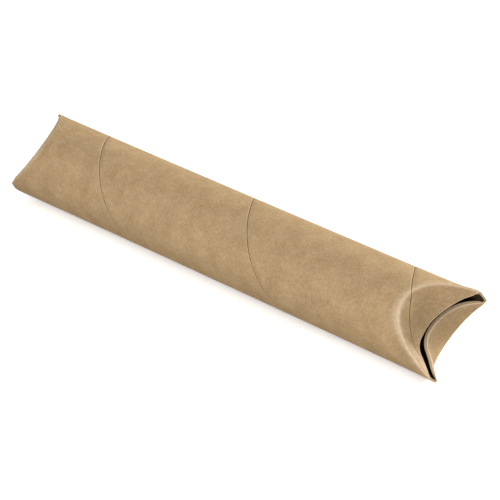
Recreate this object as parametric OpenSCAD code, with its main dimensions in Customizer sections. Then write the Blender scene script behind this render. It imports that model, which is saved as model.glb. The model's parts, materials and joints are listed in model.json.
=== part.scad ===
// Crimped-end mailing tube: one spiral-wound board tube, closed by two flaps folded in at each end

/* [Tube] */
// Inside diameter of the tube
inside_d = 50.8; // [40:0.1:160]
// Thickness of the wound board
wall = 1.5; // [1:0.1:3]
// Overall length, from the corners of one end to the corners of the other
tube_len = 355; // [150:1:1000]

/* [Crimped ends] */
// Width of the strip left unfolded at each corner, between the two creases
corner_w = 9.5; // [4:0.1:12]
// Gap between the free edges of the two flaps, at the middle of the slit
slit_gap = 4.9; // [1:0.1:8]
// Height of the slit over the tube's axis: below zero the upper flap is the longer one
slit_offset = -0.9; // [-2:0.1:2]
// Length of board that is taken up in going round a fold
fold_take = 0.3; // [0.1:0.1:1]

/* [Rest] */
// Turn of the tube about its axis as it lies, from slits level
rest_roll = 39; // [0:1:90]

/* [Hidden] */
$fn = 96;

outer_r = inside_d / 2 + wall;
inner_r = inside_d / 2;
half_len = tube_len / 2;
// Half of the corner strip: the height at which a crease leaves the end of the tube
crease_z = corner_w / 2;
// A flap lies against the inside of the wall, so its outer face is two boards in from the tube's
flap_outer_r = outer_r - 2 * wall;
flap_inner_r = flap_outer_r + wall;
flap_mid_r = flap_outer_r + wall / 2;
// Place of a flap's free edge before the fold is made
flap_end_x = half_len - fold_take;
// Height of each flap's free edge over the tube's axis, measured on the flap's own side
upper_edge_z = slit_offset + slit_gap / 2;
lower_edge_z = slit_gap / 2 - slit_offset;
upper_tilt = crease_tilt(upper_edge_z);
lower_tilt = crease_tilt(lower_edge_z);
// Edge of the blocks and length of the cylinders that stand for a half-space
reach = 4 * outer_r;

// A crease is the cut of a slanted plane through the tube, and the flap is what lay beyond that
// plane, mirrored in it, so the flap swings in about the crease's ends by twice the plane's tilt.
// The tilt is the one that brings the middle of the flap's free edge to the height asked for.
function crease_tilt(edge_z) =
  let (arm = [flap_mid_r - crease_z, fold_take])
  (acos((edge_z - crease_z) / norm(arm)) + atan2(arm[1], arm[0])) / 2;

// Round bar along the tube's axis, between two places on it
module bar(r, from_x, to_x) {
  translate([from_x, 0, 0])
    rotate([0, 90, 0])
      cylinder(r = r, h = to_x - from_x);
}

// What lies beyond the crease plane, with the plane moved in by a depth
module beyond_crease(tilt, depth) {
  translate([half_len, 0, crease_z])
    rotate([0, -tilt, 0])
      translate([-depth, -reach / 2, -reach / 2])
        cube(reach);
}

// Its children as the fold lays them: mirrored in the crease plane
module folded(tilt) {
  translate([half_len, 0, crease_z])
    mirror([cos(tilt), 0, sin(tilt)])
      translate([-half_len, 0, -crease_z])
        children();
}

// Air in front of one flap: beyond the crease, and in the hollow of the flap and on into the slit
module flap_hollow(tilt) {
  beyond_crease(tilt, 0);
  folded(tilt)
    bar(flap_outer_r, half_len - reach, flap_end_x + slit_gap / 2);
}

// One flap and the air in front of it, filled up to the flap's inner face
module flap_block(tilt) {
  intersection() {
    union() {
      beyond_crease(tilt, wall);
      folded(tilt)
        bar(flap_inner_r, half_len - reach, half_len);
    }
    folded(tilt)
      translate([flap_end_x - reach, -reach / 2, -reach / 2])
        cube(reach);
  }
}

// Children for the upper and the lower flap of both ends, with $tilt set to the flap's own
module each_flap() {
  for (end = [0, 1])
    mirror([end, 0, 0]) {
      let ($tilt = upper_tilt)
        children();
      mirror([0, 0, 1])
        let ($tilt = lower_tilt)
          children();
    }
}

module closed_form() {
  difference() {
    bar(outer_r, -half_len, half_len);
    each_flap()
      flap_hollow($tilt);
  }
}

module inside_space() {
  difference() {
    bar(inner_r, -half_len - wall, half_len + wall);
    each_flap()
      flap_block($tilt);
  }
}

module tube() {
  color([0.72, 0.60, 0.45])
    translate([0, 0, outer_r])
      rotate([rest_roll, 0, 0])
        difference() {
          closed_form();
          inside_space();
        }
}

tube();
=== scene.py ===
import json
import math
from collections import namedtuple

import bmesh
import bpy
from mathutils import Matrix, Vector


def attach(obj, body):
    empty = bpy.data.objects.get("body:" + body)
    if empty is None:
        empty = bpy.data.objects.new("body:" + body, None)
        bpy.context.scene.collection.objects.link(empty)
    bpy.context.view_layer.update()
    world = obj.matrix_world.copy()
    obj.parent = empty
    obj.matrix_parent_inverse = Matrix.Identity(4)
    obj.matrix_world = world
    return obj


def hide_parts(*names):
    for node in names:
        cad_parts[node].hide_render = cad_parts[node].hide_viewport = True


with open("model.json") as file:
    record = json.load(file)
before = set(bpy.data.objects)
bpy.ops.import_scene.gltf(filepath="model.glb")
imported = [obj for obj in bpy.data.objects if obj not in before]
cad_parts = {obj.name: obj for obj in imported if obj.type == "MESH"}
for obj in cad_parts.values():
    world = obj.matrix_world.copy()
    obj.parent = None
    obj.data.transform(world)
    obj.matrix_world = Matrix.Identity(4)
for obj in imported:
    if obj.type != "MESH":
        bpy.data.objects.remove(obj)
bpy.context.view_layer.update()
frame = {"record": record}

# The open tube
# Kraft-faced board wound edge to edge in a spiral and glued, then cut square to length. The edges
# of the facing strip meet in a fine butt seam, which runs round the tube as a long helix.
mm = 0.001
outside = frame["record"]["mounts"][0]["dims"]
outer_r = outside["r_mm"] * mm
half_len = outside["length_mm"] * mm / 2
wall = 1.5 * mm
inner_r = outer_r - wall

seam_pitch = 128.2 * mm
seam_place = 29.2 * mm
seam_half_w = 0.4 * mm
seam_depth = 0.22 * mm
seam_lip_w = 0.7 * mm
seam_merge = 0.01 * mm
cut_play = 0.001 * mm
cut_merge = 0.3 * mm
steps_per_turn = 160
strip_cuts = 31

turns_before = math.ceil((half_len + seam_place) / seam_pitch) + 1
turns = turns_before + math.ceil((half_len - seam_place) / seam_pitch)
strip_start = seam_place - turns_before * seam_pitch

board = bmesh.new()
seam_line = board.verts.layers.float.new("seam_line")
# The lip is where a highlight is painted beside the seam.
seam_lip_highlight = board.verts.layers.float.new("seam_lip_highlight")
strip_points = [
    (0, seam_depth),
    (seam_half_w, 0),
    (seam_pitch - seam_half_w - seam_lip_w, 0),
    (seam_pitch - seam_half_w, 0),
    (seam_pitch, seam_depth),
]
strip_verts = []
for along, deep in strip_points:
    strip_verts.append(board.verts.new((strip_start + along, 0, outer_r - deep)))
strip_edges = [board.edges.new(pair) for pair in zip(strip_verts, strip_verts[1:])]
strip_verts[0][seam_line] = 1
strip_verts[-1][seam_line] = 1
# Painted highlight on the seam's lip, full at the groove's edge.
strip_verts[-2][seam_lip_highlight] = 1
bmesh.ops.subdivide_edges(board, edges=[strip_edges[1]], cuts=strip_cuts)
bmesh.ops.spin(
    board,
    geom=board.verts[:] + board.edges[:],
    cent=(0, 0, 0),
    axis=(1, 0, 0),
    dvec=(seam_pitch / steps_per_turn, 0, 0),
    angle=turns * math.tau,
    steps=turns * steps_per_turn,
)
bmesh.ops.remove_doubles(board, verts=board.verts[:], dist=seam_merge)
for end in (-1, 1):
    bmesh.ops.bisect_plane(
        board,
        geom=board.verts[:] + board.edges[:] + board.faces[:],
        plane_co=(end * half_len, 0, 0),
        plane_no=(end, 0, 0),
        clear_outer=True,
    )
cut_rings = [vert for vert in board.verts if abs(vert.co.x) > half_len - cut_play]
bmesh.ops.remove_doubles(board, verts=cut_rings, dist=cut_merge)

# The creases
# Two curved creases are pressed into each end. Each is the cut of a slanted plane through the tube,
# and the fold takes a narrow band of the board on both sides of it.
corner_w = 9.5 * mm
upper_tilt = math.radians(50.1)
lower_tilt = math.radians(47.4)
fold_reach = 2.0 * mm
fold_rows = 10

crease_z = corner_w / 2
flap_outer_r = outer_r - wall

for end in (-1, 1):
    for side, tilt in ((1, upper_tilt), (-1, lower_tilt)):
        for row in range(fold_rows + 1):
            share = row / fold_rows
            slope = math.tan(tilt) * (1 - share * (1 - flap_outer_r / outer_r))
            row_x = half_len + crease_z * math.tan(tilt) + fold_reach * (2 * share - 1)
            bmesh.ops.bisect_plane(
                board,
                geom=board.verts[:] + board.edges[:] + board.faces[:],
                plane_co=(end * row_x, 0, 0),
                plane_no=(end, 0, side * slope),
            )
bmesh.ops.recalc_face_normals(board, faces=board.faces[:])

# The thickness of the board
# The inner ply lies one wall in from the facing, and the cut ends show the plies edge on.
skin = board.faces[:]
grown = bmesh.ops.extrude_face_region(board, geom=skin, use_keep_orig=True)["geom"]
for vert in grown:
    if isinstance(vert, bmesh.types.BMVert):
        radius = math.hypot(vert.co.y, vert.co.z)
        vert.co.y *= inner_r / radius
        vert.co.z *= inner_r / radius
bmesh.ops.recalc_face_normals(board, faces=board.faces[:])

# The folded ends
# The two flaps of each end are pushed in past their creases until their free edges face each other
# across a slit. The plies slip as they fold, so the inner ones stand out past the facing's edge.
inner_fold_reach = 0.5 * mm
corner_sharpness = 0.9
sharpness_power = 8
pinch_power = 6
slip_reach = 8 * mm
pull_reach = 6 * mm
flare = 0.022
flare_reach = 45 * mm
rest_roll = math.radians(39)
sharp_edge_angle = math.radians(60)
least_share = -3
most_share = 4

Flap = namedtuple("Flap", "tilt fold fold_take ply_slip corner_pinch pulls")


def fold_mirror(tilt):
    """Mirror in a crease's plane, which lays the board beyond the crease where the fold puts it."""
    corner = Vector((half_len, 0, crease_z))
    across = Vector((math.cos(tilt), 0, math.sin(tilt)))
    return Matrix.Translation(corner) @ Matrix.Scale(-1, 4, across) @ Matrix.Translation(-corner)


# A pull is a soft bend in the board: its place from the middle of the end, radius and move, in mm.
# The flaps and corners of the end at +X are pulled, and the other end is only blunt at one corner.
upper_flap = Flap(
    tilt=upper_tilt,
    fold=fold_mirror(upper_tilt),
    fold_take=0.1 * mm,
    ply_slip=0.6 * mm,
    corner_pinch=0.85,
    pulls=[
        ((-14.5, 14, 2.5), 10, (1.6, 0, 0)),
        ((-3, 22, 3), 6, (0, -0.6, -1.0)),
        ((-8, -21, 2), 7, (1.5, 0.6, -0.9)),
        ((-15, -18, 9), 9, (-2.2, 0.7, -2.5)),
        ((-17, -12, 2), 6, (0, 0, 1.2)),
    ],
)
lower_flap = Flap(
    tilt=lower_tilt,
    fold=fold_mirror(lower_tilt),
    fold_take=1.1 * mm,
    ply_slip=2.0 * mm,
    corner_pinch=0.5,
    pulls=[
        ((-10.5, -17, -4), 10, (3.7, 2.6, 0)),
        ((-10, 16, -8), 8, (-2.0, 0.7, -2.3)),
    ],
)
corner_pulls = [
    ((0, 26.5, 5), 8, (-0.3, 0.6, 2.0)),
    ((0, 26.5, -5), 6, (0, 0.3, 0.2)),
    ((0, -26.5, 5), 9, (0.8, -1.5, -1.8)),
    ((0, -26.5, -5), 6, (0, 0.7, -1.4)),
]
other_end_pulls = [
    ((0, -26.5, 5), 7, (-2.2, 0, 0.4)),
]


def bend(start, knee_out, knee_in, stop, share):
    """Point on the smooth curve from start to stop that the two knees draw towards them."""
    first = start.lerp(knee_out, share)
    middle = knee_out.lerp(knee_in, share)
    last = knee_in.lerp(stop, share)
    return first.lerp(middle, share).lerp(middle.lerp(last, share), share)


def pulled(place, pull, share):
    """Place of a point after one pull, which fades out with the distance from its centre."""
    centre, radius, move = pull
    offset = place - Vector((half_len, 0, 0)) - Vector(centre) * mm
    return place + Vector(move) * mm * share * math.exp(-((offset.length / (radius * mm)) ** 2))


def folded(place):
    """Place of a point of the open tube once the flaps are in, and how far through a fold it is."""
    end = math.copysign(1, place.x)
    side = math.copysign(1, place.z)
    flap = upper_flap if side > 0 else lower_flap
    end_pulls = corner_pulls if end > 0 else other_end_pulls
    along = abs(place.x)
    body_r = math.hypot(place.y, place.z)
    across = place.y / body_r
    up = abs(place.z) / body_r
    depth = outer_r - body_r
    flap_r = flap_outer_r + depth * (1 - flap.corner_pinch * across**pinch_power)
    reach = fold_reach + (inner_fold_reach - fold_reach) * depth / wall
    reach *= 1 - corner_sharpness * across**sharpness_power
    setback = depth / math.cos(flap.tilt)
    knee_out_x = half_len - (body_r * up - crease_z) * math.tan(flap.tilt) - setback
    knee_in_x = half_len - (flap_r * up - crease_z) * math.tan(flap.tilt) + setback
    start_x = knee_out_x - reach
    stop_x = knee_in_x + reach
    share = (along - start_x) / (stop_x - start_x)

    def on_body(x):
        return Vector((x, body_r * across, body_r * up))

    def on_flap(x):
        return flap.fold @ Vector((x, flap_r * across, flap_r * up))

    if share <= 0:
        new = on_body(along)
    elif share >= 1:
        slipped = min((along - stop_x) / slip_reach, 1)
        new = on_flap(along + slipped * (flap.ply_slip * depth / wall - flap.fold_take))
    else:
        new = bend(on_body(start_x), on_body(knee_out_x), on_flap(knee_in_x), on_flap(stop_x), share)
    new.z *= side
    if end > 0 and share > 0:
        for flap_pull in flap.pulls:
            new = pulled(new, flap_pull, min((along - start_x) / pull_reach, 1))
    for end_pull in end_pulls:
        new = pulled(new, end_pull, 1)
    oval = flare * math.exp((new.x - half_len) / flare_reach)
    return Vector((end * new.x, new.y * (1 + oval), new.z * (1 - oval))), share


open_place = board.verts.layers.float_vector.new("open_place")
ply_depth = board.verts.layers.float.new("ply_depth")
crease_share = board.verts.layers.float.new("crease_share")
settle = Matrix.Translation((0, 0, outer_r)) @ Matrix.Rotation(rest_roll, 4, "X")
for vert in board.verts:
    radius = math.hypot(vert.co.y, vert.co.z)
    vert[open_place] = vert.co
    vert[ply_depth] = 1 if radius < outer_r - wall / 2 else 0
    place, share = folded(vert.co)
    vert[crease_share] = min(max(share, least_share), most_share)
    vert.co = settle @ place
for face in board.faces:
    face.smooth = True
for edge in board.edges:
    if len(edge.link_faces) == 2 and edge.calc_face_angle() > sharp_edge_angle:
        edge.smooth = False

tube_mesh = bpy.data.meshes.new("tube_board")
board.to_mesh(tube_mesh)
board.free()
tube = bpy.data.objects.new("tube_board", tube_mesh)
bpy.context.scene.collection.objects.link(tube)

# The finish of the board
# Unbleached kraft: matt mid brown, cloudy where the fibres bunch, with fine flecks of darker fibre,
# rubbed pale along the folds. Painted highlights lie on the folds, on the flaps near the lower horn
# and on one lip of the seam. The middle plies are greyer chipboard, and the inner face is painted
# near black as painted shade for the dark inside of the tube.
kraft_dark = (0.36, 0.233, 0.117, 1)
kraft_light = (0.60, 0.428, 0.240, 1)
fleck_colour = (0.16, 0.10, 0.05, 1)
# Pale rubbed paper, also the colour of the painted highlights.
pale_rub_and_highlight_colour = (0.84, 0.67, 0.48, 1)
seam_colour = (0.13, 0.075, 0.035, 1)
fuzz_colour = (0.72, 0.57, 0.40, 1)
edge_colour = (0.46, 0.33, 0.20, 1)
# Painted shade for the inner face of the board.
inside_shade_colour = (0.032, 0.021, 0.008, 1)

cloud_scale = 90
mottle_scale = 650
grain_scale = 3200
fleck_scale = 1500
fibre_scale = 1400
fibre_stretch = (1, 0.12, 0.12)
cloud_weight = 0.35
mottle_weight = 0.45
grain_weight = 0.2
fleck_strength = 0.45
fold_rub_and_highlight_strength = 0.65
fold_rub_and_highlight_least = 0.4
corner_highlight_strength = 0.45
ridge_highlight_strength = 0.3
lip_highlight_strength = 0.3
fibre_strength = 0.4
torn_edge_strength = 0.8
bump_strength = 0.25
bump_height = 0.15 * mm
hollow_roughness = 0.94
raised_roughness = 0.82
gloss_level = 0.05

# Each pair below is where a mark sets in and where it is full: in a noise, in the share of a fold
# from the body (0) to the flap (1), along or across the tube, or through the plies.
cloud_range = (0.3, 0.7)
mottle_range = (0.32, 0.68)
grain_range = (0.3, 0.7)
fleck_range = (0.72, 0.8)
patch_range = (0.0, 0.6)
fibre_range = (0.5, 0.75)
# The fold band is rubbed fibres plus a painted highlight; the painted highlight grows towards -Y.
fold_rub_and_highlight_body = (-0.5, 0.45)
fold_rub_and_highlight_flap = (0.8, 0.5)
fold_highlight_across = (18 * mm, -8 * mm)
# Painted highlight on the flaps near the lower horn.
corner_highlight_fold = (0.4, 1.2)
corner_highlight_across = (-16.5 * mm, -20.5 * mm)
# Painted highlight on each fold's ridge.
ridge_highlight_body = (0.2, 0.42)
ridge_highlight_flap = (0.66, 0.5)
seam_opening_fold = (0.8, 1.5)
seam_range = (0.1, 0.6)
fibre_along = (half_len - 9 * mm, half_len - 3 * mm)
torn_edge_along = (half_len - 0.6 * mm, half_len - 0.2 * mm)
torn_plies = (0.01, 0.03)
middle_plies = (0.25, 0.35)
inner_plies = (0.9, 0.99)

kraft = bpy.data.materials.new("kraft_board")
kraft.use_nodes = True
tree = kraft.node_tree
shader = tree.nodes["Principled BSDF"]


def add(kind, links=(), **values):
    """New node in the present tree, with its inputs linked or set."""
    node = tree.nodes.new(kind)
    for name, value in values.items():
        setattr(node, name, value)
    for source, socket in links:
        if hasattr(source, "node"):
            tree.links.new(source, node.inputs[socket])
        else:
            node.inputs[socket].default_value = source
    return node


def mix_colour(factor, first, second):
    node = add("ShaderNodeMix", data_type="RGBA")
    for name, source in (("Factor_Float", factor), ("A_Color", first), ("B_Color", second)):
        socket = next(each for each in node.inputs if each.identifier == name)
        if hasattr(source, "node"):
            tree.links.new(source, socket)
        else:
            socket.default_value = source
    return next(each for each in node.outputs if each.identifier == "Result_Color")


def attribute(name, output):
    return add("ShaderNodeAttribute", attribute_name=name).outputs[output]


def math_node(operation, first, second):
    return add("ShaderNodeMath", [(first, 0), (second, 1)], operation=operation).outputs[0]


def times(first, second):
    return math_node("MULTIPLY", first, second)


def noise(place, scale, detail, roughness):
    links = [(place, "Vector"), (scale, "Scale"), (detail, "Detail"), (roughness, "Roughness")]
    return add("ShaderNodeTexNoise", links).outputs["Fac"]


def ramp(source, limits):
    low, high = limits
    links = [(source, "Value"), (low, "From Min"), (high, "From Max")]
    return add("ShaderNodeMapRange", links).outputs["Result"]


board_place = attribute("open_place", "Vector")
crease = attribute("crease_share", "Fac")
ply = attribute("ply_depth", "Fac")
along_tube, across_tube = add("ShaderNodeSeparateXYZ", [(board_place, 0)]).outputs[:2]
from_middle = math_node("ABSOLUTE", along_tube, 0)

mottle = noise(board_place, mottle_scale, detail=4, roughness=0.6)
mottle_share = ramp(mottle, mottle_range)
patches = ramp(mottle, patch_range)
cloud_share = ramp(noise(board_place, cloud_scale, detail=3, roughness=0.55), cloud_range)
grain_share = ramp(noise(board_place, grain_scale, detail=2, roughness=0.5), grain_range)
tone = math_node("ADD", times(cloud_share, cloud_weight), times(mottle_share, mottle_weight))
tone = math_node("ADD", tone, times(grain_share, grain_weight))
facing = mix_colour(tone, kraft_dark, kraft_light)
flecks = ramp(noise(board_place, fleck_scale, detail=0, roughness=0.5), fleck_range)
facing = mix_colour(times(flecks, fleck_strength), facing, fleck_colour)

# The pale band along each crease is partly rubbed fibres and partly a painted highlight where the
# rounded fold catches the light; the painted highlight grows towards -Y.
fold_rub_and_highlight = times(ramp(crease, fold_rub_and_highlight_body), ramp(crease, fold_rub_and_highlight_flap))
fold_rub_and_highlight = times(fold_rub_and_highlight, patches)
fold_rub_and_highlight = times(fold_rub_and_highlight, math_node("MAXIMUM", ramp(across_tube, fold_highlight_across), fold_rub_and_highlight_least))
facing = mix_colour(times(fold_rub_and_highlight, fold_rub_and_highlight_strength), facing, pale_rub_and_highlight_colour)
# Painted highlight on the flaps near the lower horn, where their tips catch the light, in patches.
corner_highlight = times(ramp(across_tube, corner_highlight_across), ramp(crease, corner_highlight_fold))
corner_highlight = times(corner_highlight, patches)
facing = mix_colour(times(corner_highlight, corner_highlight_strength), facing, pale_rub_and_highlight_colour)
# Painted highlight: a thin pale line along the ridge of each fold.
ridge_highlight = times(ramp(crease, ridge_highlight_body), ramp(crease, ridge_highlight_flap))
facing = mix_colour(times(ridge_highlight, ridge_highlight_strength), facing, pale_rub_and_highlight_colour)

# Painted highlight along one lip of the seam, as if it stood raised and caught the light.
facing = mix_colour(times(attribute("seam_lip_highlight", "Fac"), lip_highlight_strength), facing, pale_rub_and_highlight_colour)
seam_opening = math_node("ADD", ramp(crease, seam_opening_fold), 1)
seam_share = times(attribute("seam_line", "Fac"), seam_opening)
facing = mix_colour(ramp(seam_share, seam_range), facing, seam_colour)

stretch_links = [(board_place, "Vector"), (fibre_stretch, "Scale")]
fibre_place = add("ShaderNodeMapping", stretch_links).outputs["Vector"]
fibres = ramp(noise(fibre_place, fibre_scale, detail=1, roughness=0.5), fibre_range)
fibres = times(fibres, ramp(from_middle, fibre_along))
facing = mix_colour(times(fibres, fibre_strength), facing, fuzz_colour)
torn_edge = ramp(from_middle, torn_edge_along)
facing = mix_colour(times(torn_edge, torn_edge_strength), facing, fuzz_colour)

colour = mix_colour(ramp(ply, torn_plies), facing, fuzz_colour)
colour = mix_colour(ramp(ply, middle_plies), colour, edge_colour)
# Painted shade: the inner face of the board is near black for the dark inside of the tube.
colour = mix_colour(ramp(ply, inner_plies), colour, inside_shade_colour)
tree.links.new(colour, shader.inputs["Base Color"])

dullness_links = [(mottle_share, "Value"), (hollow_roughness, "To Min"), (raised_roughness, "To Max")]
dullness = add("ShaderNodeMapRange", dullness_links)
tree.links.new(dullness.outputs["Result"], shader.inputs["Roughness"])
shader.inputs["Specular IOR Level"].default_value = gloss_level
bump_links = [(bump_strength, "Strength"), (bump_height, "Distance"), (mottle, "Height")]
bump = add("ShaderNodeBump", bump_links)
tree.links.new(bump.outputs["Normal"], shader.inputs["Normal"])

tube_mesh.materials.append(kraft)
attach(tube, "root")
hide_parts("tube")

# The floor
# A plain pale sheet that the tube lies on. It shows white to the camera and keeps the shadow.
floor_size = 4
floor_colour = (0.88, 0.88, 0.88, 1)
floor_roughness = 0.9
floor_glow = 0.5
white = (1, 1, 1, 1)

sheet = bmesh.new()
bmesh.ops.create_grid(sheet, x_segments=1, y_segments=1, size=floor_size / 2)
floor_mesh = bpy.data.meshes.new("floor")
sheet.to_mesh(floor_mesh)
sheet.free()
floor = bpy.data.objects.new("floor", floor_mesh)
bpy.context.scene.collection.objects.link(floor)


def seen_directly():
    """1 where floor or sky is seen, also in gloss or through glass, and 0 where it gives light."""
    rays = add("ShaderNodeLightPath").outputs
    seen = math_node("MAXIMUM", rays["Is Camera Ray"], rays["Is Glossy Ray"])
    return math_node("MAXIMUM", seen, rays["Is Transmission Ray"])


paper = bpy.data.materials.new("floor_white")
paper.use_nodes = True
tree = paper.node_tree
shader = tree.nodes["Principled BSDF"]
shader.inputs["Base Color"].default_value = floor_colour
shader.inputs["Roughness"].default_value = floor_roughness
shader.inputs["Specular IOR Level"].default_value = 0
shader.inputs["Emission Color"].default_value = white
tree.links.new(times(seen_directly(), floor_glow), shader.inputs["Emission Strength"])
floor_mesh.materials.append(paper)

# The light
# Soft studio light: two broad lamps in front, a stronger one low behind, and a faint even sky.
sky_level = 0.02
lamp_distance = 2.0
lamp_size = 1.3
tube_middle = Vector((0, 0, outer_r))

world = bpy.data.worlds.new("studio")
bpy.context.scene.world = world
world.use_nodes = True
tree = world.node_tree
sky = tree.nodes["Background"]
sky.inputs["Color"].default_value = white
tree.links.new(math_node("MAXIMUM", seen_directly(), sky_level), sky.inputs["Strength"])


def direction(azimuth, elevation):
    """Way out from the tube, in degrees: the azimuth turns from -Y towards +X."""
    turn = math.radians(azimuth)
    rise = math.radians(elevation)
    return Vector((math.sin(turn) * math.cos(rise), -math.cos(turn) * math.cos(rise), math.sin(rise)))


def soft_lamp(name, azimuth, elevation, power):
    data = bpy.data.lights.new(name, "AREA")
    data.shape = "SQUARE"
    data.size = lamp_size
    data.energy = power
    lamp = bpy.data.objects.new(name, data)
    towards = direction(azimuth, elevation)
    lamp.location = tube_middle + towards * lamp_distance
    lamp.rotation_euler = towards.to_track_quat("Z", "Y").to_euler()
    bpy.context.scene.collection.objects.link(lamp)


soft_lamp("front_lamp", azimuth=0, elevation=34, power=19)
soft_lamp("side_lamp", azimuth=40, elevation=50, power=18.5)
soft_lamp("back_lamp", azimuth=160, elevation=27.5, power=51)

# The camera
# A long lens, looking down on the tube from in front of its near end.
view_azimuth = 45.7
view_elevation = 25.7
camera_distance = 1.629
lens = 198.65
sensor_width = 36
aim = Vector((9.17, 5.10, 20.65)) * mm

camera_data = bpy.data.cameras.new("camera")
camera_data.lens = lens
camera_data.sensor_width = sensor_width
camera = bpy.data.objects.new("camera", camera_data)
back = direction(view_azimuth, view_elevation)
camera.location = aim + back * camera_distance
camera.rotation_euler = back.to_track_quat("Z", "Y").to_euler()
bpy.context.scene.collection.objects.link(camera)
bpy.context.scene.camera = camera
bpy.context.scene.view_settings.view_transform = "Standard"
